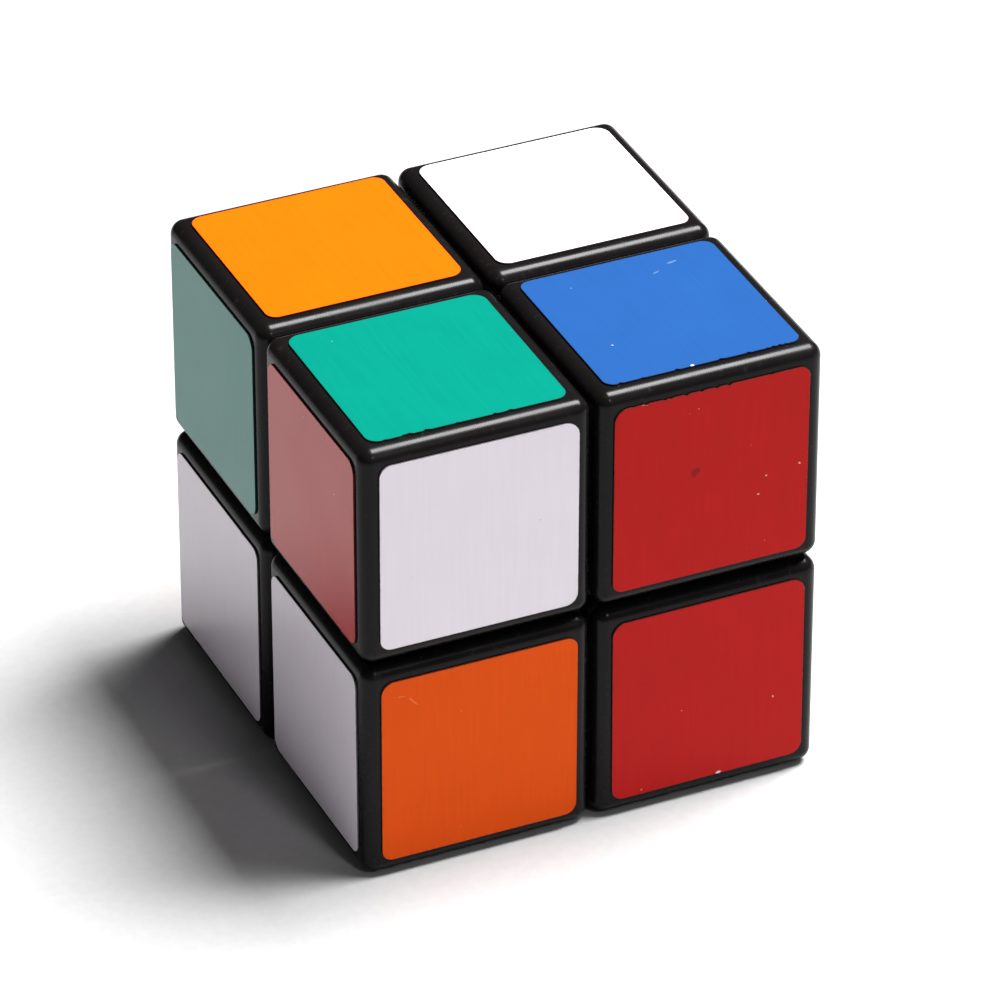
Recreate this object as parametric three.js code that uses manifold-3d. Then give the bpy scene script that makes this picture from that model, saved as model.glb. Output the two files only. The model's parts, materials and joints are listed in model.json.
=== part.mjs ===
// A 2 x 2 x 2 pocket puzzle cube: eight corner cubies around a hidden ball mechanism.
// Millimetres, +Z up, the middle of the underside at the origin.
// The front face looks along -Y, the left face along -X.
//
// The pieces lie in four concentric layers around the middle of the cube:
//   the core ball, the feet, the flanges over the feet, and the cubies outside them.
// Corner feet are caught under the flanges of the edge pieces, edge feet under the flanges of
// the centre pieces, and six sprung screws hold the centre pieces to the core ball.
// Flat cuts between neighbours and spheres between layers leave every face free to turn.
import * as THREE from 'three';
import { RoundedBoxGeometry } from 'three/addons/geometries/RoundedBoxGeometry.js';
import { mergeVertices } from 'three/addons/utils/BufferGeometryUtils.js';
import Module from 'manifold-3d';

const wasm = await Module();
wasm.setup();

// Driving dimensions
const cubeSize = 50;              // across two opposite stickers
const stickerThickness = 0.16;
const glueGap = 0.04;             // between a sticker and the cap
const seam = 0.25;                // from a middle plane to the nearest face of a cubie
const capWall = 1.6;
const capFillet = 1.5;
const stickerSize = 21.2;
const stickerCorner = 1.5;
const clearance = 0.3;            // between pieces that slide past each other
const footWall = 1.5;
const footInset = 0.1;            // the seam walls stand back from the edges of the cap
const footFillet = 0.9;

// The ball mechanism: radii of its layers and offsets of its flat cuts from the middle planes
const coreRadius = 8.4;
const footRadius = 12.6;
const flangeRadius = 16;
const footCut = 3.9;
const flangeCut = 5.6;

// Screws, bores and counterbores
const screwRadius = 1.4;
const screwHeadRadius = 2.7;
const screwHeadBottom = 14;
const screwHeadTop = 15.4;
const boreRadius = 1.7;
const counterboreRadius = 3.1;
const counterboreBottom = 11;

// Fineness of the round surfaces
const ballSegments = 20;
const boreSegments = 14;
const capFilletSegments = 2;      // for an eighth of a turn
const footFilletSegments = 1;     // for an eighth of a turn
const stickerCornerSegments = 2;  // for an eighth of a turn

// Worked out from the dimensions above
const half = cubeSize / 2;
const capFace = half - stickerThickness - glueGap;
const cubieMiddle = (seam + capFace) / 2;
const footLow = footCut + clearance / 2;
const footHalfWidth = footCut - clearance / 2;
const flangeLow = flangeCut + clearance / 2;
const flangeHalfWidth = flangeCut - clearance / 2;
const scoopRadius = flangeRadius + clearance;
const overlap = 0.6;              // how far joined shapes run into each other
const beyond = half * 2;          // further out than any piece

// Solids

function solid(geometry) {
  geometry.deleteAttribute('normal');
  geometry.deleteAttribute('uv');
  const merged = mergeVertices(geometry);
  return new wasm.Manifold(new wasm.Mesh({
    numProp: 3,
    vertProperties: new Float32Array(merged.attributes.position.array),
    triVerts: new Uint32Array(merged.index.array),
  }));
}

function geometryOf(manifold) {
  const mesh = manifold.getMesh();
  const geometry = new THREE.BufferGeometry();
  geometry.setAttribute('position', new THREE.BufferAttribute(mesh.vertProperties, 3));
  geometry.setIndex(new THREE.BufferAttribute(mesh.triVerts, 1));
  geometry.computeVertexNormals();
  return geometry;
}

function box(low, high) {
  const size = high.map((value, i) => value - low[i]);
  const middle = high.map((value, i) => (value + low[i]) / 2);
  return solid(new THREE.BoxGeometry(...size).translate(...middle));
}

// A cube from low to high on all three axes, with rounded edges
function roundedCube(low, high, radius, segments) {
  const size = high - low;
  const middle = (high + low) / 2;
  const geometry = new RoundedBoxGeometry(size, size, size, segments, radius);
  return solid(geometry.translate(middle, middle, middle));
}

// A ball whose facets all lie on or inside the radius
function ball(radius) {
  return solid(new THREE.SphereGeometry(radius, ballSegments, ballSegments / 2));
}

// A ball whose facets all lie on or outside the radius, for cutting hollows
function hollowBall(radius) {
  return ball(radius / Math.sqrt(Math.cos(2 * Math.PI / ballSegments)));
}

// A cylinder on the +Z axis
function rod(radius, low, high) {
  const geometry = new THREE.CylinderGeometry(radius, radius, high - low, boreSegments);
  return solid(geometry.rotateX(Math.PI / 2).translate(0, 0, (low + high) / 2));
}

// What lies inside a box and between two spheres
function layer(low, high, inner, outer) {
  return box(low, high).intersect(ball(outer)).subtract(hollowBall(inner));
}

// Pieces, each in one canonical place around the middle of the cube

// The cap of the cubie at +X +Y +Z: three outer walls with rounded edges
function capGeometry() {
  const inside = capFace - capWall;
  const hollow = box([-beyond, -beyond, -beyond], [inside, inside, inside]);
  const block = roundedCube(seam, capFace, capFillet, capFilletSegments);
  return geometryOf(block.subtract(hollow));
}

// The foot of the same cubie: three seam walls, a scooped wall, a stalk and the foot itself
function footGeometry() {
  const low = seam + footInset;
  const high = capFace - capWall - glueGap;
  const block = roundedCube(low, high, footFillet, footFilletSegments);
  const hollowLow = low + footWall;
  const hollow = box([hollowLow, hollowLow, hollowLow], [beyond, beyond, beyond]);
  const seamWalls = block.subtract(hollow);
  const scoopWall = block.intersect(ball(scoopRadius + footWall));
  const shell = seamWalls.add(scoopWall).subtract(hollowBall(scoopRadius));
  const stalk = layer(
    [flangeLow, flangeLow, flangeLow],
    [beyond, beyond, beyond],
    footRadius - overlap,
    scoopRadius + overlap,
  );
  const foot = layer(
    [footLow, footLow, footLow],
    [beyond, beyond, beyond],
    coreRadius + clearance,
    footRadius,
  );
  return geometryOf(shell.add(stalk).add(foot));
}

// The edge piece between the +Y and +Z faces: a foot, a neck and a flange
function edgeGeometry() {
  const foot = layer(
    [-footHalfWidth, footLow, footLow],
    [footHalfWidth, beyond, beyond],
    coreRadius + clearance,
    footRadius,
  );
  const neck = layer(
    [-footHalfWidth, flangeLow, flangeLow],
    [footHalfWidth, beyond, beyond],
    footRadius - overlap,
    footRadius + clearance + overlap,
  );
  const flange = layer(
    [-flangeHalfWidth, flangeLow, flangeLow],
    [flangeHalfWidth, beyond, beyond],
    footRadius + clearance,
    flangeRadius,
  );
  return geometryOf(foot.add(neck).add(flange));
}

// The centre piece of the +Z face: a column and a flange, bored for its screw and spring
function centreGeometry() {
  const column = layer(
    [-footHalfWidth, -footHalfWidth, 0],
    [footHalfWidth, footHalfWidth, beyond],
    coreRadius + clearance,
    footRadius + clearance + overlap,
  );
  const flange = layer(
    [-flangeHalfWidth, -flangeHalfWidth, 0],
    [flangeHalfWidth, flangeHalfWidth, beyond],
    footRadius + clearance,
    flangeRadius,
  );
  const bore = rod(boreRadius, 0, beyond);
  const counterbore = rod(counterboreRadius, counterboreBottom, beyond);
  return geometryOf(column.add(flange).subtract(bore).subtract(counterbore));
}

// The core ball with its six screws, one along each axis
function coreGeometry() {
  const screw = rod(screwRadius, 0, screwHeadBottom + overlap)
    .add(rod(screwHeadRadius, screwHeadBottom, screwHeadTop));
  const screwShape = geometryOf(screw);
  let core = ball(coreRadius);
  for (const face of faces) {
    const turned = screwShape.clone().applyMatrix4(faceMatrix(face.normal));
    core = core.add(solid(turned));
  }
  return geometryOf(core);
}

// A sticker on the +Z face of the cap at +X +Y +Z
function stickerGeometry() {
  const reach = stickerSize / 2 - stickerCorner;
  const outline = new THREE.Shape();
  for (let quarter = 0; quarter < 4; quarter += 1) {
    const angle = quarter * Math.PI / 2;
    const middle = new THREE.Vector2(reach, reach).rotateAround(new THREE.Vector2(), angle);
    outline.absarc(middle.x, middle.y, stickerCorner, angle, angle + Math.PI / 2);
  }
  const geometry = new THREE.ExtrudeGeometry(outline, {
    depth: stickerThickness,
    bevelEnabled: false,
    curveSegments: stickerCornerSegments,
  });
  geometry.translate(cubieMiddle, cubieMiddle, capFace + glueGap);
  return geometryOf(solid(geometry));
}

// Places around the middle of the cube

const faces = [
  { name: 'up', letter: 'U', normal: [0, 0, 1] },
  { name: 'down', letter: 'D', normal: [0, 0, -1] },
  { name: 'front', letter: 'F', normal: [0, -1, 0] },
  { name: 'back', letter: 'B', normal: [0, 1, 0] },
  { name: 'left', letter: 'L', normal: [-1, 0, 0] },
  { name: 'right', letter: 'R', normal: [1, 0, 0] },
];

function faceNamed(letter) {
  return faces.find((face) => face.letter === letter);
}

// The rotation that takes +Z to a face's normal
function faceMatrix(normal) {
  const z = new THREE.Vector3(...normal);
  const x = new THREE.Vector3(normal[2] ** 2 + normal[1] ** 2, 0, normal[0] ** 2);
  const y = new THREE.Vector3().crossVectors(z, x);
  return new THREE.Matrix4().makeBasis(x, y, z);
}

// The rotation that takes the corner at +X +Y +Z to the corner with the signs given.
// A quarter turn swaps X and Y wherever plain half turns would mirror the piece.
function cornerMatrix([x, y, z]) {
  const matrix = new THREE.Matrix4().makeScale(x, y, z);
  const swapped = new THREE.Matrix4().makeBasis(
    new THREE.Vector3(0, y, 0),
    new THREE.Vector3(x, 0, 0),
    new THREE.Vector3(0, 0, z),
  );
  return x * y * z > 0 ? matrix : swapped;
}

// The rotation that takes +Z to one face's normal and +Y to another's
function edgeMatrix(normalA, normalB) {
  const z = new THREE.Vector3(...normalA);
  const y = new THREE.Vector3(...normalB);
  return new THREE.Matrix4().makeBasis(new THREE.Vector3().crossVectors(y, z), y, z);
}

// The sticker's turn within its corner: about the corner's diagonal, in thirds of a turn
function thirdTurn(steps) {
  const diagonal = new THREE.Vector3(1, 1, 1).normalize();
  return new THREE.Matrix4().makeRotationAxis(diagonal, steps * 2 * Math.PI / 3);
}

// Each corner's colours, in the order of the letters in its name
const cornerColours = {
  UFL: ['green', 'white', 'red'],
  UFR: ['blue', 'red', 'yellow'],
  UBL: ['orange', 'yellow', 'green'],
  UBR: ['white', 'blue', 'red'],
  DFL: ['blue', 'orange', 'white'],
  DFR: ['green', 'red', 'yellow'],
  DBL: ['green', 'orange', 'white'],
  DBR: ['yellow', 'orange', 'blue'],
};
const edgeNames = ['UF', 'UB', 'UL', 'UR', 'DF', 'DB', 'DL', 'DR', 'FL', 'FR', 'BL', 'BR'];

// Materials

function plastic(color, roughness) {
  return new THREE.MeshStandardMaterial({ color, roughness, metalness: 0 });
}

const blackPlastic = plastic(0x191617, 0.18);
const innerPlastic = plastic(0x2a2a2c, 0.5);
const corePlastic = plastic(0xd8d6cf, 0.45);
const stickerMaterials = {
  white: plastic(0xf4f2f2, 0.25),
  yellow: plastic(0xf6d21c, 0.25),
  red: plastic(0xaa2321, 0.25),
  orange: plastic(0xf28a12, 0.25),
  green: plastic(0x00ae93, 0.25),
  blue: plastic(0x3c7ddc, 0.25),
};

// Assembly

const cube = new THREE.Group();
cube.position.z = half;

function place(parent, name, geometry, material, matrix) {
  const mesh = new THREE.Mesh(geometry, material);
  mesh.name = name;
  mesh.applyMatrix4(matrix);
  parent.add(mesh);
}

function addCorner(name, shapes) {
  const letters = [...name];
  const normals = letters.map((letter) => faceNamed(letter).normal);
  const signs = [0, 1, 2].map((i) => normals.reduce((sum, normal) => sum + normal[i], 0));
  const corner = new THREE.Group();
  corner.applyMatrix4(cornerMatrix(signs));
  const unmoved = new THREE.Matrix4();
  place(corner, `cap_${name}`, shapes.cap, blackPlastic, unmoved);
  place(corner, `foot_${name}`, shapes.foot, innerPlastic, unmoved);
  for (let steps = 0; steps < 3; steps += 1) {
    const turn = thirdTurn(steps);
    const outward = new THREE.Vector3(0, 0, 1).applyMatrix4(turn).applyMatrix4(corner.matrix);
    const nearest = normals.map((normal) => outward.dot(new THREE.Vector3(...normal)));
    const index = nearest.indexOf(Math.max(...nearest));
    const stickerName = `sticker_${name}_${faceNamed(letters[index]).name}`;
    const material = stickerMaterials[cornerColours[name][index]];
    place(corner, stickerName, shapes.sticker, material, turn);
  }
  cube.add(corner);
}

place(cube, 'core', coreGeometry(), corePlastic, new THREE.Matrix4());

const centreShape = centreGeometry();
for (const face of faces) {
  place(cube, `centre_${face.name}`, centreShape, innerPlastic, faceMatrix(face.normal));
}

const edgeShape = edgeGeometry();
for (const name of edgeNames) {
  const [a, b] = [...name].map((letter) => faceNamed(letter).normal);
  place(cube, `edge_${name}`, edgeShape, innerPlastic, edgeMatrix(a, b));
}

const cornerShapes = { cap: capGeometry(), foot: footGeometry(), sticker: stickerGeometry() };
for (const name of Object.keys(cornerColours)) {
  addCorner(name, cornerShapes);
}

const group = new THREE.Group();
group.name = 'pocket_cube';
group.add(cube);

export default group;
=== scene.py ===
"""Looks of a 2 x 2 x 2 pocket puzzle cube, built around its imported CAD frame.

Lengths are in metres. MM turns millimetres into metres.
"""

import json
import math
import random

import bmesh
import bpy
from mathutils import Matrix, Vector

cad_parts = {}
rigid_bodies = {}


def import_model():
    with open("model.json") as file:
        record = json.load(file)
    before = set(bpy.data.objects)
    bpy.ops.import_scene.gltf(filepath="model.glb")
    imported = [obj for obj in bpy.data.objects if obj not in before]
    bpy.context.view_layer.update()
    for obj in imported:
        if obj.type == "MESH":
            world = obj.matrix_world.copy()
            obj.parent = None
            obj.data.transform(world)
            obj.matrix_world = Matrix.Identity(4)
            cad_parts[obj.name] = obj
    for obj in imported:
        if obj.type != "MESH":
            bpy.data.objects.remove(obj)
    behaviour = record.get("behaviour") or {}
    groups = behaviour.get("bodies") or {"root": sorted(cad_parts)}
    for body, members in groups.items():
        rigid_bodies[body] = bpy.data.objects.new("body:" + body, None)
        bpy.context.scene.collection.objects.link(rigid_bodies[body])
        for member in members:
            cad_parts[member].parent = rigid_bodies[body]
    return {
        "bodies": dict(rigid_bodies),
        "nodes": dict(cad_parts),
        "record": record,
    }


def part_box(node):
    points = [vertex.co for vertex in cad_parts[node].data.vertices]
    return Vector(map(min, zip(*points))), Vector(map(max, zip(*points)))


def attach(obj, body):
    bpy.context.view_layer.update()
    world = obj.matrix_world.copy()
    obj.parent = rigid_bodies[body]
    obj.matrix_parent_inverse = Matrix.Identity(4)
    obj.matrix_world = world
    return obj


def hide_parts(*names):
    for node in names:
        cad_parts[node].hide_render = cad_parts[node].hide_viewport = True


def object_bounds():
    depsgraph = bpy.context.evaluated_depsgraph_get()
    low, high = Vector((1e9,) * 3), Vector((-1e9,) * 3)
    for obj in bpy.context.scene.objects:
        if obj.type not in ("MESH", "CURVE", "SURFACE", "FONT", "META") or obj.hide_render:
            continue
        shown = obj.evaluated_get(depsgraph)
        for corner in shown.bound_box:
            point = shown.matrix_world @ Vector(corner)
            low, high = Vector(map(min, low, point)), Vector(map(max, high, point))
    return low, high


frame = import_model()
cad_low, cad_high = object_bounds()

MM = 0.001
MIDDLE = (cad_low + cad_high) / 2

# Corner caps
CAP_FILLET = 1.5 * MM
CAP_WALL = 1.6 * MM
CAP_FILLET_STEPS = 10
CAP_RUBBED = 0.95                 # share of the fillet that counts as a rubbed edge

# Stickers
STICKER_CORNERS = (1.1 * MM, 1.55 * MM)  # least and greatest corner radius
STICKER_EDGE = 0.035 * MM         # rounding of the cut edge
STICKER_MARGIN = 0.8 * MM         # width of the band that collects grime
STICKER_SIDE_STEPS = 56
STICKER_CORNER_STEPS = 10
STICKER_TURN = math.radians(0.30)  # how far a sticker may be stuck on askew
STICKER_SHIFT = 0.08 * MM
RAGGED = 0.006 * MM               # waviness of the cut
NICK_DEPTH = 0.20 * MM
NICKS_PER_SIDE = 0.12             # on average
NICKS_PER_WORN_SIDE = 11.0
TOP_SIDE, BOTTOM_SIDE = 1, 3      # quarter turns from the right side
WORN_SIDES = {
    ("UFR", "up"): (BOTTOM_SIDE,),
    ("UFR", "front"): (TOP_SIDE,),
    ("UFL", "up"): (BOTTOM_SIDE,),
}

# Core, screws, springs and washers, measured from the middle of the cube
CORE_RADIUS = 8.4 * MM
SCREW_HOLE_DEPTH = 4.0 * MM
SCREW_RADIUS = 1.4 * MM
SCREW_HEAD_RADIUS = 2.7 * MM
SCREW_HEAD_BOTTOM = 14.0 * MM
SCREW_HEAD_TOP = 15.4 * MM
THREAD_PITCH = 0.5 * MM
THREAD_DEPTH = 0.16 * MM
SCREW_TIP_GAP = 0.1 * MM
SCREW_HEAD_RIM = 0.35             # height of the head's straight rim over the whole head
SCREW_HEAD_ROUNDNESS = 0.4        # 1 is an ellipse, less is squarer
SCREW_HEAD_STEPS = 8
SCREW_HOLE_PLAY = 1.03            # hole radius over screw radius
RECESS_ARM = (1.7 * MM, 0.32 * MM)  # half length and half width of one bar of the cross
RECESS_DEPTH = 0.8 * MM
COUNTERBORE_BOTTOM = 11.0 * MM
SPRING_RADIUS = 2.3 * MM
SPRING_WIRE = 0.25 * MM
SPRING_TURNS = 4.5
SPRING_STEPS = 160
SPRING_SIDES = 10
SPRING_FOOT_GAP = 0.05 * MM
SPRING_HEAD_GAP = 0.07 * MM
WASHER_INNER = 1.6 * MM
WASHER_OUTER = 2.9 * MM
WASHER_THICKNESS = 0.35 * MM
WASHER_EDGE = 0.06 * MM           # chamfer
WASHER_PLAY = 0.02 * MM           # under the screw head
HOLE_STEPS = 32
TURNED_STEPS = 48                 # round a screw or a washer
OVERRUN = 1.0 * MM                # of a cutter past what it cuts

SHARP_ANGLE = math.radians(35)    # edges sharper than this stay crisp
WELD_DISTANCE = 1e-7

# Depths of the reliefs on the surfaces
FINE_RELIEF = 0.004 * MM
TURNED_RELIEF = 0.006 * MM
SATIN_RELIEF = 0.02 * MM
PAPER_RELIEF = 0.05 * MM

# Stage
FLOOR_REACH = 3.0                 # from the middle of the floor to each side
DIM_FILL = 0.065                  # world light on the cube, where the camera sees 1
CAMERA_AZIMUTH = -24.36           # degrees, with 0 in front and 90 to the right
CAMERA_ELEVATION = 32.81
CAMERA_DISTANCE = 14.4            # widths of the cube
CAMERA_AIM = Vector((0.59, -0.86, -0.84)) * MM  # from the middle of the cube
SENSOR_WIDTH = 36                 # millimetres, as is the lens
LENS = 256

FACES = {
    "up": Vector((0, 0, 1)),
    "down": Vector((0, 0, -1)),
    "front": Vector((0, -1, 0)),
    "back": Vector((0, 1, 0)),
    "left": Vector((-1, 0, 0)),
    "right": Vector((1, 0, 0)),
}

CORNERS = [body[len("corner_"):] for body in frame["bodies"] if body.startswith("corner_")]


# Nodes of a material

class Nodes:
    """A node tree with one Principled shader, and short calls that add and link nodes."""

    def __init__(self, name):
        self.material = bpy.data.materials.new(name)
        self.material.use_nodes = True
        self.tree = self.material.node_tree
        self.shader = self.tree.nodes["Principled BSDF"]

    def set(self, socket, value):
        self.feed(self.shader.inputs[socket], value)

    def add(self, kind, output, **values):
        """Adds a node; each value names an input socket or a property of the node."""
        node = self.tree.nodes.new(kind)
        for key, value in values.items():
            if key in node.inputs:
                self.feed(node.inputs[key], value)
            else:
                setattr(node, key, value)
        return node.outputs[output]

    def feed(self, target, value):
        if isinstance(value, bpy.types.NodeSocket):
            self.tree.links.new(value, target)
        else:
            target.default_value = value

    def math(self, operation, a, b=0.0, clamp=False):
        node = self.tree.nodes.new("ShaderNodeMath")
        node.operation = operation
        node.use_clamp = clamp
        self.feed(node.inputs[0], a)
        self.feed(node.inputs[1], b)
        return node.outputs[0]

    def ramp(self, value, low, high, to_low=0.0, to_high=1.0):
        """Maps low..high to to_low..to_high, clamped and smooth."""
        node = self.tree.nodes.new("ShaderNodeMapRange")
        node.interpolation_type = "SMOOTHSTEP"
        for socket, number in zip(node.inputs[:5], (value, low, high, to_low, to_high)):
            self.feed(socket, number)
        return node.outputs[0]

    def mix(self, factor, a, b):
        node = self.tree.nodes.new("ShaderNodeMix")
        node.data_type = "RGBA"
        sockets = {s.identifier: s for s in node.inputs}
        self.feed(sockets["Factor_Float"], factor)
        self.feed(sockets["A_Color"], a)
        self.feed(sockets["B_Color"], b)
        return next(s for s in node.outputs if s.identifier == "Result_Color")

    def noise(self, vector, scale, detail=3.0, roughness=0.5):
        return self.add(
            "ShaderNodeTexNoise", "Fac",
            Vector=vector, Scale=scale, Detail=detail, Roughness=roughness,
        )

    def stretched(self, vector, scale):
        return self.add("ShaderNodeMapping", "Vector", Vector=vector, Scale=scale)

    def place(self):
        return self.add("ShaderNodeTexCoord", "Object")

    def uv(self, name):
        return self.add("ShaderNodeUVMap", "UV", uv_map=name)

    def bump(self, height, distance, strength=1.0, normal=None):
        values = {"Height": height, "Distance": distance, "Strength": strength}
        if normal is not None:
            values["Normal"] = normal
        return self.add("ShaderNodeBump", "Normal", **values)


def shade(colour, factor):
    """The colour made darker or paler, with an alpha of 1."""
    return (colour[0] * factor, colour[1] * factor, colour[2] * factor, 1.0)


def black_plastic():
    """Glossy black ABS: handling haze, hairline scratches and edges rubbed a little paler."""
    n = Nodes("black_plastic")
    place = n.place()
    haze = n.noise(place, 190.0, 4.0)
    grain = n.noise(place, 2600.0, 2.0)
    wear_noise = n.noise(place, 900.0, 5.0, 0.7)
    edge = n.add("ShaderNodeAttribute", "Fac", attribute_name="edge")
    rubbed = n.math("MULTIPLY", edge, n.ramp(wear_noise, 0.56, 0.76))
    base = n.mix(haze, (0.0042, 0.0034, 0.0035, 1), (0.0062, 0.0050, 0.0051, 1))
    n.set("Base Color", n.mix(n.math("MULTIPLY", rubbed, 0.3), base, (0.030, 0.027, 0.027, 1)))
    gloss = n.ramp(haze, 0.3, 0.75, 0.21, 0.29)
    n.set("Roughness", n.math("ADD", gloss, n.math("MULTIPLY", rubbed, 0.12)))
    hair = n.noise(n.stretched(place, (240.0, 5200.0, 3900.0)), 1.0, 1.0)
    scratches = n.ramp(hair, 0.69, 0.75)
    relief = n.math("SUBTRACT", n.math("MULTIPLY", grain, 0.25), n.math("MULTIPLY", scratches, 0.35))
    n.set("Normal", n.bump(relief, FINE_RELIEF, 0.35))
    n.set("IOR", 1.22)
    return n.material


def scuff(n, base, mark):
    """Lays one worn spot or scratch over the base colour."""
    wobble = n.noise(n.stretched(n.uv("place"), (14.0, 14.0, 1.0)), 1.0, 3.0, 0.65)
    local = n.add(
        "ShaderNodeMapping", "Vector", vector_type="TEXTURE", Vector=n.uv("place"),
        Location=(*mark["at"], 0), Rotation=(0, 0, math.radians(mark["turn"])), Scale=(*mark["size"], 1),
    )
    reach = n.add("ShaderNodeVectorMath", "Value", operation="LENGTH", Vector=local)
    ragged = n.math("ADD", reach, n.math("MULTIPLY", wobble, 1.6))
    cover = n.math("MULTIPLY", n.ramp(ragged, 1.35, 1.85, 1.0, 0.0), mark["cover"])
    return n.mix(cover, base, mark["colour"])


def vinyl(name, colour, sheen, streak, fleck, marks=()):
    """Glossy sticker vinyl: faint streaks, a few tiny flecks and a grubby cut edge.

    The sheen tints what it reflects face on. Grazing reflections stay white.
    """
    n = Nodes(name)
    place = n.place()
    rim = n.add("ShaderNodeSeparateXYZ", "X", Vector=n.uv("rim"))
    streaks = n.noise(n.stretched(n.uv("grain"), (26.0, 1.1, 1.0)), 1.0, 3.0, 0.6)
    cloud = n.noise(place, 160.0, 3.0)
    tone = n.math("ADD", n.math("MULTIPLY", streaks, 0.55), n.math("MULTIPLY", cloud, 0.45))
    base = n.mix(n.ramp(tone, 0.30, 0.70), shade(colour, 1 - streak), shade(colour, 1 + streak))
    for mark in marks:
        base = scuff(n, base, mark)
    specks = n.ramp(n.noise(place, 1500.0, 1.0), 0.822, 0.836)
    base = n.mix(n.math("MULTIPLY", specks, 0.55), base, fleck)
    grime_noise = n.noise(place, 1500.0, 4.0, 0.6)
    grime = n.math("MULTIPLY", n.ramp(rim, 0.55, 0.9), n.ramp(grime_noise, 0.40, 0.70))
    base = n.mix(n.math("MULTIPLY", grime, 0.22), base, shade(colour, 0.35))
    base = n.mix(n.ramp(rim, 0.90, 0.97, 0.0, 0.9), base, (0.012, 0.010, 0.010, 1))
    n.set("Base Color", base)
    smear = n.noise(place, 110.0, 4.0, 0.55)
    n.set("Roughness", n.ramp(smear, 0.3, 0.75, 0.22, 0.27))
    peel = n.noise(place, 1400.0, 2.0)
    hair = n.noise(n.stretched(n.uv("grain"), (80.0, 1.8, 1.0)), 1.0, 1.0)
    scratches = n.ramp(hair, 0.71, 0.77)
    relief = n.math("SUBTRACT", n.math("MULTIPLY", peel, 0.5), n.math("MULTIPLY", scratches, 0.3))
    n.set("Normal", n.bump(relief, FINE_RELIEF, 0.25))
    n.set("IOR", 1.35)
    n.set("Specular Tint", sheen)
    return n.material


def satin_plastic(name, dark, pale, rough_low, rough_high):
    """Moulded inner plastic with tool marks, a satin grain and smears of grease."""
    n = Nodes(name)
    place = n.place()
    cloud = n.noise(place, 260.0, 4.0)
    grain = n.noise(place, 4200.0, 2.0)
    n.set("Base Color", n.mix(n.ramp(cloud, 0.3, 0.7), dark, pale))
    grease = n.ramp(n.noise(place, 120.0, 2.0), 0.5, 0.62)
    n.set("Roughness", n.math("SUBTRACT", n.ramp(grain, 0.2, 0.8, rough_low, rough_high),
                              n.math("MULTIPLY", grease, rough_low * 0.5)))
    n.set("Normal", n.bump(grain, SATIN_RELIEF, 0.4))
    return n.material


def steel():
    """Blackened steel: fine turning marks and an uneven bluish oxide."""
    n = Nodes("screw_steel")
    place = n.place()
    cloud = n.noise(place, 500.0, 3.0)
    n.set("Base Color", n.mix(n.ramp(cloud, 0.35, 0.65), (0.024, 0.023, 0.022, 1), (0.034, 0.035, 0.039, 1)))
    n.set("Metallic", 1.0)
    marks = n.noise(place, 6000.0, 2.0)
    n.set("Roughness", n.ramp(marks, 0.2, 0.8, 0.32, 0.48))
    n.set("Normal", n.bump(marks, TURNED_RELIEF, 0.5))
    return n.material


def floor_paper():
    """A pale, matt paper sweep with a faint fibre texture."""
    n = Nodes("floor_paper")
    place = n.place()
    fibre = n.noise(place, 900.0, 4.0, 0.6)
    n.set("Base Color", n.mix(n.ramp(fibre, 0.3, 0.7), (0.405, 0.405, 0.409, 1), (0.430, 0.430, 0.434, 1)))
    n.set("Roughness", n.ramp(fibre, 0.3, 0.7, 0.85, 0.95))
    n.set("Normal", n.bump(fibre, PAPER_RELIEF, 0.2))
    return n.material


WHITE_FLECK = (0.80, 0.80, 0.78, 1)
GREY_FLECK = (0.30, 0.29, 0.29, 1)
PALE_SCUFF = (0.12, 0.19, 0.31, 1)
PALE_SCRATCH = (0.82, 0.23, 0.075, 1)
DARK_SMUDGE = (0.10, 0.006, 0.005, 1)
# Painted light: a lighter, yellower copy of the orange for the sticker on the top face, standing in for the
# bright top light
TOP_ORANGE_PAINTED_LIGHTER = (0.76, 0.104, 0.0012)

# Colour, sheen, strength of the streaks and colour of the flecks
STICKER_LOOKS = {
    "sticker_white": ((0.80, 0.735, 0.80), (1, 1, 1, 1), 0.02, GREY_FLECK),
    "sticker_yellow": ((0.80, 0.56, 0.012), (1, 0.9, 0.2, 1), 0.03, WHITE_FLECK),
    "sticker_red": ((0.45, 0.0045, 0.0035), (1, 0.28, 0.26, 1), 0.05, WHITE_FLECK),
    "sticker_orange": ((0.73, 0.068, 0.0015), (1, 0.5, 0.10, 1), 0.04, PALE_SCRATCH),
    "sticker_green": ((0.0005, 0.162, 0.119), (0.2, 1, 0.9, 1), 0.04, WHITE_FLECK),
    "sticker_blue": ((0.0125, 0.064, 0.218), (0.4, 0.6, 1, 1), 0.04, WHITE_FLECK),
}

# Darker colour, paler colour, least and greatest roughness
FOOT_LOOK = ((0.010, 0.010, 0.011, 1), (0.018, 0.018, 0.020, 1), 0.32, 0.48)
INNER_LOOK = ((0.020, 0.020, 0.022, 1), (0.032, 0.032, 0.035, 1), 0.34, 0.50)
CORE_LOOK = ((0.60, 0.58, 0.52, 1), (0.72, 0.70, 0.65, 1), 0.36, 0.50)

MATERIALS = {
    "black_plastic": black_plastic(),
    "foot_plastic": satin_plastic("foot_plastic", *FOOT_LOOK),
    "inner_plastic": satin_plastic("inner_plastic", *INNER_LOOK),
    "core_plastic": satin_plastic("core_plastic", *CORE_LOOK),
    "screw_steel": steel(),
}
for slot_name, look in STICKER_LOOKS.items():
    MATERIALS[slot_name] = vinyl(slot_name, *look)
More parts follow.
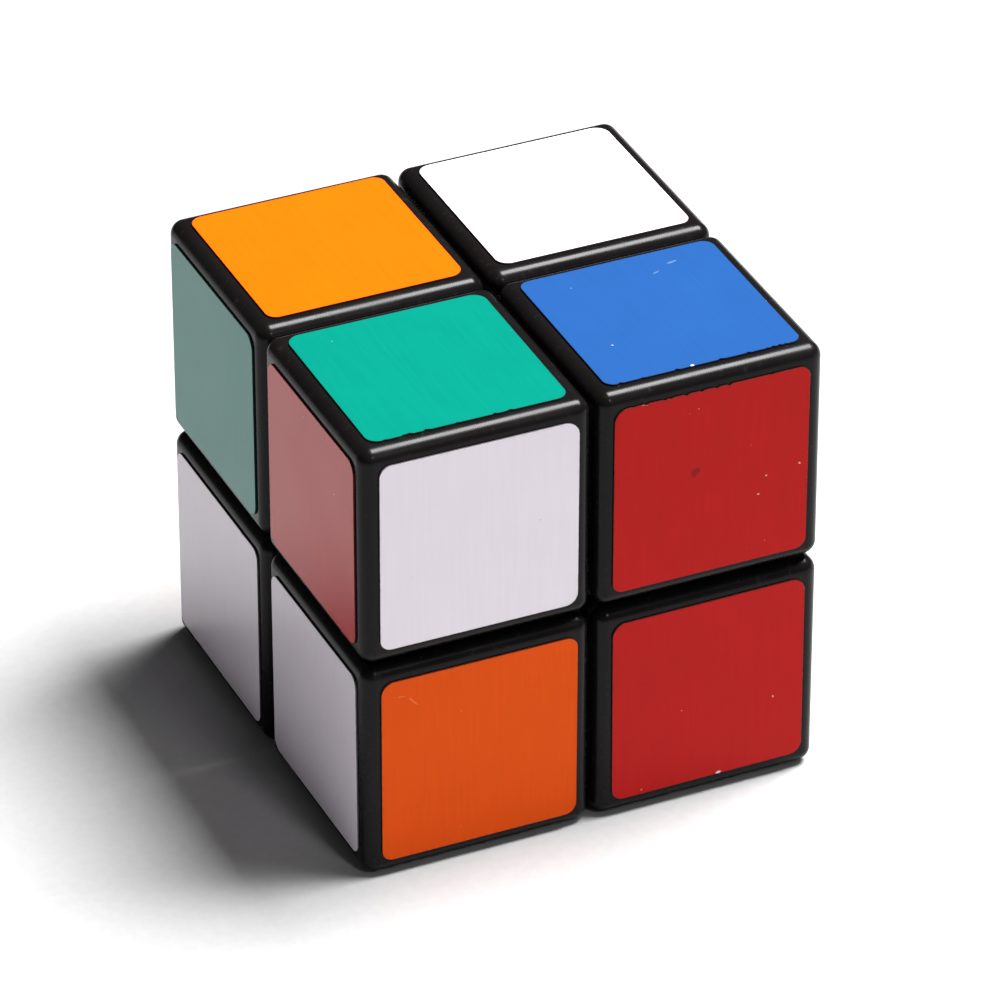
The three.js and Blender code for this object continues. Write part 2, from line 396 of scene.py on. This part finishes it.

# Stickers that show marks, or a colour of their own that paints in light: the orange on top is a lighter,
# yellower copy, painted brighter for the strong top light.
# Places and sizes of marks run from -1 to 1 across the sticker, and turns are in degrees.
PAINTED_LIGHT_COLOURS = {("UBL", "up"): TOP_ORANGE_PAINTED_LIGHTER}
MARKS = {
    ("UFR", "up"): (
        {"at": (0.28, 0.65), "size": (0.050, 0.012), "turn": 20, "cover": 0.55, "colour": PALE_SCUFF},
        {"at": (0.49, 0.76), "size": (0.062, 0.014), "turn": 12, "cover": 0.60, "colour": PALE_SCUFF},
        {"at": (-0.13, -0.99), "size": (0.020, 0.016), "turn": 0, "cover": 0.95, "colour": WHITE_FLECK},
    ),
    ("UFR", "front"): (
        {"at": (-0.17, 0.13), "size": (0.062, 0.052), "turn": 25, "cover": 0.60, "colour": DARK_SMUDGE},
    ),
    ("DFL", "front"): (
        {"at": (-0.80, 0.82), "size": (0.060, 0.007), "turn": -8, "cover": 0.60, "colour": PALE_SCRATCH},
        {"at": (-0.68, 0.74), "size": (0.078, 0.008), "turn": -48, "cover": 0.65, "colour": PALE_SCRATCH},
    ),
    ("DFR", "front"): (
        {"at": (0.12, -0.985), "size": (0.030, 0.016), "turn": 5, "cover": 0.95, "colour": WHITE_FLECK},
    ),
    ("UFL", "left"): (
        {"at": (0.05, -0.80), "size": (0.060, 0.012), "turn": -60, "cover": 0.5, "colour": DARK_SMUDGE},
    ),
}

SLOTS = {part["node"]: part["material_slot"] for part in frame["record"]["subparts"]}


# Meshes

def object_from(bm, name):
    mesh = bpy.data.meshes.new(name)
    bm.to_mesh(mesh)
    bm.free()
    piece = bpy.data.objects.new(name, mesh)
    bpy.context.scene.collection.objects.link(piece)
    return piece


def cut(piece, cutter):
    """Takes the cutter away from the piece, and removes the cutter."""
    modifier = piece.modifiers.new("cut", "BOOLEAN")
    modifier.operation = "DIFFERENCE"
    modifier.solver = "EXACT"
    modifier.object = cutter
    graph = bpy.context.evaluated_depsgraph_get()
    mesh = bpy.data.meshes.new_from_object(piece.evaluated_get(graph))
    piece.modifiers.clear()
    piece.data = mesh
    bpy.data.objects.remove(cutter)


def box_mesh(low, high):
    bm = bmesh.new()
    bmesh.ops.create_cube(bm, size=1)
    bmesh.ops.scale(bm, vec=high - low, verts=bm.verts)
    bmesh.ops.translate(bm, vec=(low + high) / 2, verts=bm.verts)
    return bm


def lathe(profile, steps, name):
    """Turns a closed outline of (radius, height) points round the Z axis."""
    bm = bmesh.new()
    rings = []
    for i in range(steps):
        angle = 2 * math.pi * i / steps
        rings.append([bm.verts.new((r * math.cos(angle), r * math.sin(angle), z)) for r, z in profile])
    count = len(profile)
    for i, ring in enumerate(rings):
        following = rings[(i + 1) % steps]
        for j in range(count):
            k = (j + 1) % count
            bm.faces.new((ring[j], following[j], following[k], ring[k]))
    bmesh.ops.remove_doubles(bm, verts=bm.verts, dist=WELD_DISTANCE)
    bmesh.ops.recalc_face_normals(bm, faces=bm.faces)
    return object_from(bm, name)


def smooth(piece):
    """Smooth shading with sharp edges kept, and flat faces kept flat."""
    bm = bmesh.new()
    bm.from_mesh(piece.data)
    for face in bm.faces:
        face.smooth = True
    for edge in bm.edges:
        if len(edge.link_faces) == 2 and edge.calc_face_angle(0) > SHARP_ANGLE:
            edge.smooth = False
    bm.to_mesh(piece.data)
    bm.free()
    modifier = piece.modifiers.new("normals", "WEIGHTED_NORMAL")
    modifier.weight = 100
    modifier.keep_sharp = True


def finish_piece(piece, body, slot, replaced=None):
    piece.data.materials.clear()
    piece.data.materials.append(MATERIALS[slot])
    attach(piece, body)
    if replaced:
        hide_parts(replaced)


# Corner caps

def corner_signs(name):
    """The octant of a corner, as a vector of signs from the middle of the cube."""
    low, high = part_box("cap_" + name)
    away = (low + high) / 2 - MIDDLE
    return Vector([math.copysign(1, value) for value in away])


def cap_shape(low, high):
    """The cap in the +X +Y +Z octant: a rounded cube with its seam side hollowed out."""
    bm = box_mesh(low, high)
    bmesh.ops.bevel(
        bm, geom=bm.edges[:], offset=CAP_FILLET, offset_type="OFFSET",
        segments=CAP_FILLET_STEPS, profile=0.5, affect="EDGES",
    )
    piece = object_from(bm, "cap_shape")
    wall = Vector((CAP_WALL,) * 3)
    hollow = object_from(box_mesh(low - wall, high - wall), "hollow")
    cut(piece, hollow)
    return piece


def mark_edges(mesh, low, high):
    """Writes 1 on the points of the rounded edges, which are near two sides or more, and else 0."""
    attribute = mesh.attributes.new("edge", "FLOAT", "POINT")
    for vertex, value in zip(mesh.vertices, attribute.data):
        depths = sorted(min(c - a, b - c) for c, a, b in zip(vertex.co, low, high))
        value.value = 1.0 if depths[1] < CAP_RUBBED * CAP_FILLET else 0.0


def add_caps():
    first = next(name for name in CORNERS if corner_signs(name) == Vector((1, 1, 1)))
    low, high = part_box("cap_" + first)
    shape = cap_shape(low, high)
    mark_edges(shape.data, low, high)
    for name in CORNERS:
        signs = corner_signs(name)
        mirror = Matrix.Diagonal((*signs, 1))
        mesh = shape.data.copy()
        mesh.transform(Matrix.Translation(MIDDLE) @ mirror @ Matrix.Translation(-MIDDLE))
        if mirror.determinant() < 0:
            mesh.flip_normals()
        piece = bpy.data.objects.new("shell_" + name, mesh)
        bpy.context.scene.collection.objects.link(piece)
        smooth(piece)
        finish_piece(piece, "corner_" + name, SLOTS["cap_" + name], "cap_" + name)
    bpy.data.objects.remove(shape)


# Stickers

def ragged_side(draw, nicks):
    """Inward offsets along one side of a sticker: a slight waviness and a few nicks."""
    offsets = [abs(draw.gauss(0, RAGGED)) for _ in range(STICKER_SIDE_STEPS + 1)]
    for at in range(1, STICKER_SIDE_STEPS):
        if draw.random() < nicks / STICKER_SIDE_STEPS:
            offsets[at] += NICK_DEPTH * draw.uniform(0.2, 1.0)
    return offsets


def sticker_outline(half, worn_sides, draw):
    """Points round a rounded square, anticlockwise from the foot of the right side."""
    corners = [draw.uniform(*STICKER_CORNERS) for _ in range(4)]
    points = []
    for quarter in range(4):
        turn = Matrix.Rotation(quarter * math.pi / 2, 2)
        low = corners[quarter - 1] - half
        high = half - corners[quarter]
        nicks = NICKS_PER_WORN_SIDE if quarter in worn_sides else NICKS_PER_SIDE
        for i, offset in enumerate(ragged_side(draw, nicks)):
            along = low + (high - low) * i / STICKER_SIDE_STEPS
            points.append(turn @ Vector((half - offset, along)))
        for i in range(1, STICKER_CORNER_STEPS):
            angle = math.pi / 2 * i / STICKER_CORNER_STEPS
            radius = corners[quarter] - abs(draw.gauss(0, RAGGED))
            points.append(turn @ Vector((high + radius * math.cos(angle), high + radius * math.sin(angle))))
    return points


def sticker_shape(half, thickness, worn_sides, draw):
    """A thin sheet with a rounded cut edge.

    Its UV maps are "rim", 0 inside the margin and 1 on the cut edge, "place", from -1 to 1
    across the sticker, and "grain", the same with an offset of its own.
    """
    bm = bmesh.new()
    rim_map = bm.loops.layers.uv.new("rim")
    place_map = bm.loops.layers.uv.new("place")
    grain_map = bm.loops.layers.uv.new("grain")
    outline = sticker_outline(half, worn_sides, draw)
    # Inset, height and rim of each ring of points, from the foot of the edge inwards
    levels = (
        (0.0, 0.0, 1.0),
        (0.0, thickness - STICKER_EDGE, 1.0),
        (STICKER_EDGE, thickness, 0.92),
        (STICKER_MARGIN, thickness, 0.0),
    )
    rings = []
    rims = {}
    for inset, height, rim in levels:
        scale = 1 - inset / half
        ring = [bm.verts.new((point.x * scale, point.y * scale, height)) for point in outline]
        rims.update((vertex, rim) for vertex in ring)
        rings.append(ring)
    count = len(outline)
    for lower, upper in zip(rings, rings[1:]):
        for i in range(count):
            j = (i + 1) % count
            bm.faces.new((lower[i], lower[j], upper[j], upper[i]))
    bm.faces.new(rings[-1])
    bm.faces.new(reversed(rings[0]))
    grain_shift = Vector((draw.uniform(0, 50), draw.uniform(0, 50)))
    for face in bm.faces:
        for loop in face.loops:
            flat = Vector((loop.vert.co.x, loop.vert.co.y)) / half
            loop[rim_map].uv = (rims[loop.vert], 0)
            loop[place_map].uv = flat
            loop[grain_map].uv = flat + grain_shift
    return bm


def sticker_axes(face):
    """Columns: the sticker's right, its up and its outward direction."""
    outward = FACES[face]
    up = Vector((0, 1, 0)) if abs(outward.z) > 0.5 else Vector((0, 0, 1))
    right = up.cross(outward)
    return Matrix((right, up, outward)).transposed()


def add_sticker(name, face, draw):
    node = f"sticker_{name}_{face}"
    slot = SLOTS[node]
    low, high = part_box(node)
    outward = FACES[face]
    size = high - low
    thickness = abs(size.dot(outward))
    half = max(size) / 2
    bm = sticker_shape(half, thickness, WORN_SIDES.get((name, face), ()), draw)
    shift = Vector((draw.uniform(-1, 1), draw.uniform(-1, 1), 0)) * STICKER_SHIFT
    turn = Matrix.Rotation(draw.uniform(-1, 1) * STICKER_TURN, 4, "Z")
    base = (low + high) / 2 - outward * thickness / 2
    axes = sticker_axes(face).to_4x4()
    bm.transform(Matrix.Translation(base) @ axes @ Matrix.Translation(shift) @ turn)
    piece = object_from(bm, f"vinyl_{name}_{face}")
    smooth(piece)
    finish_piece(piece, "corner_" + name, slot, node)
    if (name, face) in MARKS or (name, face) in PAINTED_LIGHT_COLOURS:
        colour, *look = STICKER_LOOKS[slot]
        # The top orange sticker takes its painted-light colour here, a lighter copy standing in for the top
        # lamp
        colour = PAINTED_LIGHT_COLOURS.get((name, face), colour)
        marks = MARKS.get((name, face), ())
        piece.data.materials[0] = vinyl(f"{slot}_{name}_{face}", colour, *look, marks)


def add_stickers():
    for name in CORNERS:
        for face in FACES:
            if f"sticker_{name}_{face}" in frame["nodes"]:
                add_sticker(name, face, random.Random(name + face))


# Core, screws, springs and washers

def facing(outward):
    """The turn that takes +Z to a face's outward direction."""
    return outward.to_track_quat("Z", "Y").to_matrix().to_4x4()


def turned_to(outward):
    """The same turn, and the move to the middle of the cube."""
    return Matrix.Translation(MIDDLE) @ facing(outward)


def add_core():
    bm = bmesh.new()
    bmesh.ops.create_uvsphere(bm, u_segments=64, v_segments=32, radius=CORE_RADIUS)
    core = object_from(bm, "core_ball")
    for outward in FACES.values():
        low, high = CORE_RADIUS - SCREW_HOLE_DEPTH, CORE_RADIUS + OVERRUN
        radius = SCREW_RADIUS * SCREW_HOLE_PLAY
        hole = lathe([(0, low), (radius, low), (radius, high), (0, high)], HOLE_STEPS, "hole")
        hole.data.transform(facing(outward))
        cut(core, hole)
    core.data.transform(Matrix.Translation(MIDDLE))
    smooth(core)
    finish_piece(core, "core", "core_plastic", "core")


def screw_profile():
    """Half section of a pan-head screw with a threaded shank."""
    start = CORE_RADIUS - SCREW_HOLE_DEPTH + SCREW_TIP_GAP
    root = SCREW_RADIUS - THREAD_DEPTH
    points = [(0, start), (root, start)]
    height = start + THREAD_PITCH / 2
    while height < COUNTERBORE_BOTTOM - THREAD_PITCH:
        points.append((SCREW_RADIUS, height))
        points.append((root, height + THREAD_PITCH / 2))
        height += THREAD_PITCH
    points.append((SCREW_RADIUS, height))
    points.append((SCREW_RADIUS, SCREW_HEAD_BOTTOM))
    points.append((SCREW_HEAD_RADIUS, SCREW_HEAD_BOTTOM))
    head = SCREW_HEAD_TOP - SCREW_HEAD_BOTTOM
    for i in range(1, SCREW_HEAD_STEPS):
        angle = math.pi / 2 * i / SCREW_HEAD_STEPS
        radius = SCREW_HEAD_RADIUS * math.cos(angle) ** SCREW_HEAD_ROUNDNESS
        rise = SCREW_HEAD_RIM + (1 - SCREW_HEAD_RIM) * math.sin(angle)
        points.append((radius, SCREW_HEAD_BOTTOM + head * rise))
    points.append((0, SCREW_HEAD_TOP))
    return points


def add_screw(face, outward):
    screw = lathe(screw_profile(), TURNED_STEPS, "screw_" + face)
    for x, y in (RECESS_ARM, reversed(RECESS_ARM)):
        low = Vector((-x, -y, SCREW_HEAD_TOP - RECESS_DEPTH))
        high = Vector((x, y, SCREW_HEAD_TOP + OVERRUN))
        cut(screw, object_from(box_mesh(low, high), "recess"))
    screw.data.transform(turned_to(outward))
    smooth(screw)
    finish_piece(screw, "core", "screw_steel")


def add_washer(face, outward):
    top = SCREW_HEAD_BOTTOM - WASHER_PLAY
    low = top - WASHER_THICKNESS
    edge = WASHER_EDGE
    profile = [
        (WASHER_INNER, low + edge), (WASHER_INNER + edge, low),
        (WASHER_OUTER - edge, low), (WASHER_OUTER, low + edge),
        (WASHER_OUTER, top - edge), (WASHER_OUTER - edge, top),
        (WASHER_INNER + edge, top), (WASHER_INNER, top - edge),
    ]
    washer = lathe(profile, TURNED_STEPS, "washer_" + face)
    washer.data.transform(turned_to(outward))
    smooth(washer)
    finish_piece(washer, "core", "screw_steel")


def add_spring(face, outward):
    """A compression spring: a round wire swept along a helix."""
    low = COUNTERBORE_BOTTOM + SPRING_WIRE + SPRING_FOOT_GAP
    high = SCREW_HEAD_BOTTOM - WASHER_THICKNESS - SPRING_WIRE - SPRING_HEAD_GAP
    bm = bmesh.new()
    rings = []
    for i in range(SPRING_STEPS + 1):
        angle = 2 * math.pi * SPRING_TURNS * i / SPRING_STEPS
        radial = Vector((math.cos(angle), math.sin(angle), 0))
        height = low + (high - low) * i / SPRING_STEPS
        middle = radial * SPRING_RADIUS + Vector((0, 0, height))
        ring = []
        for j in range(SPRING_SIDES):
            side = 2 * math.pi * j / SPRING_SIDES
            around = radial * math.cos(side) + Vector((0, 0, math.sin(side)))
            ring.append(bm.verts.new(middle + around * SPRING_WIRE))
        rings.append(ring)
    for lower, upper in zip(rings, rings[1:]):
        for j in range(SPRING_SIDES):
            k = (j + 1) % SPRING_SIDES
            bm.faces.new((lower[j], upper[j], upper[k], lower[k]))
    bm.faces.new(rings[0])
    bm.faces.new(reversed(rings[-1]))
    bmesh.ops.recalc_face_normals(bm, faces=bm.faces)
    spring = object_from(bm, "spring_" + face)
    spring.data.transform(turned_to(outward))
    smooth(spring)
    finish_piece(spring, "core", "screw_steel")


def dress_cad_nodes():
    """Gives the CAD nodes their materials. The moulded inner pieces are the ones that stay."""
    for name, node in frame["nodes"].items():
        node.data.materials.clear()
        node.data.materials.append(MATERIALS[SLOTS[name]])


# Stage

def add_floor():
    bm = bmesh.new()
    bmesh.ops.create_grid(bm, x_segments=1, y_segments=1, size=FLOOR_REACH)
    floor = object_from(bm, "floor")
    floor.location.z = cad_low.z
    floor.data.materials.append(floor_paper())


def direction_to(azimuth, elevation):
    """A direction in degrees, from the cube outwards. Azimuth 0 is in front, 90 to the right."""
    a, e = math.radians(azimuth), math.radians(elevation)
    return Vector((math.sin(a) * math.cos(e), -math.cos(a) * math.cos(e), math.sin(e)))


def add_area_light(name, azimuth, elevation, distance, size, watts):
    """A square soft light aimed at the cube."""
    light = bpy.data.lights.new(name, "AREA")
    light.shape = "SQUARE"
    light.size = size
    light.energy = watts
    back = direction_to(azimuth, elevation)
    lamp = bpy.data.objects.new(name, light)
    lamp.location = MIDDLE + back * distance
    lamp.rotation_euler = back.to_track_quat("Z", "Y").to_euler()
    bpy.context.scene.collection.objects.link(lamp)


def add_world():
    """Dim fill light on the cube, with a plain white background for the camera."""
    world = bpy.data.worlds.new("studio")
    world.use_nodes = True
    tree = world.node_tree
    background = tree.nodes["Background"]
    background.inputs["Color"].default_value = (1, 1, 1, 1)
    strength = tree.nodes.new("ShaderNodeMapRange")
    strength.inputs["To Min"].default_value = DIM_FILL
    strength.inputs["To Max"].default_value = 1.0
    rays = tree.nodes.new("ShaderNodeLightPath")
    tree.links.new(rays.outputs["Is Camera Ray"], strength.inputs["Value"])
    tree.links.new(strength.outputs["Result"], background.inputs["Strength"])
    bpy.context.scene.world = world


def add_camera():
    back = direction_to(CAMERA_AZIMUTH, CAMERA_ELEVATION)
    distance = CAMERA_DISTANCE * (cad_high.x - cad_low.x)
    aim = MIDDLE + CAMERA_AIM
    data = bpy.data.cameras.new("camera")
    data.sensor_width = SENSOR_WIDTH
    data.lens = LENS
    data.clip_start, data.clip_end = 0.01, 20
    camera = bpy.data.objects.new("camera", data)
    camera.location = aim + back * distance
    camera.rotation_euler = back.to_track_quat("Z", "Y").to_euler()
    bpy.context.scene.collection.objects.link(camera)
    bpy.context.scene.camera = camera


add_camera()
add_world()
add_area_light("overhead", azimuth=90, elevation=66, distance=1.2, size=0.56, watts=51)
add_area_light("front_fill", azimuth=10, elevation=42, distance=1.2, size=0.17, watts=1.9)
add_floor()
dress_cad_nodes()
add_caps()
add_stickers()
add_core()
for face_name, direction in FACES.items():
    add_screw(face_name, direction)
    add_washer(face_name, direction)
    add_spring(face_name, direction)

bpy.context.scene.view_settings.view_transform = "Standard"
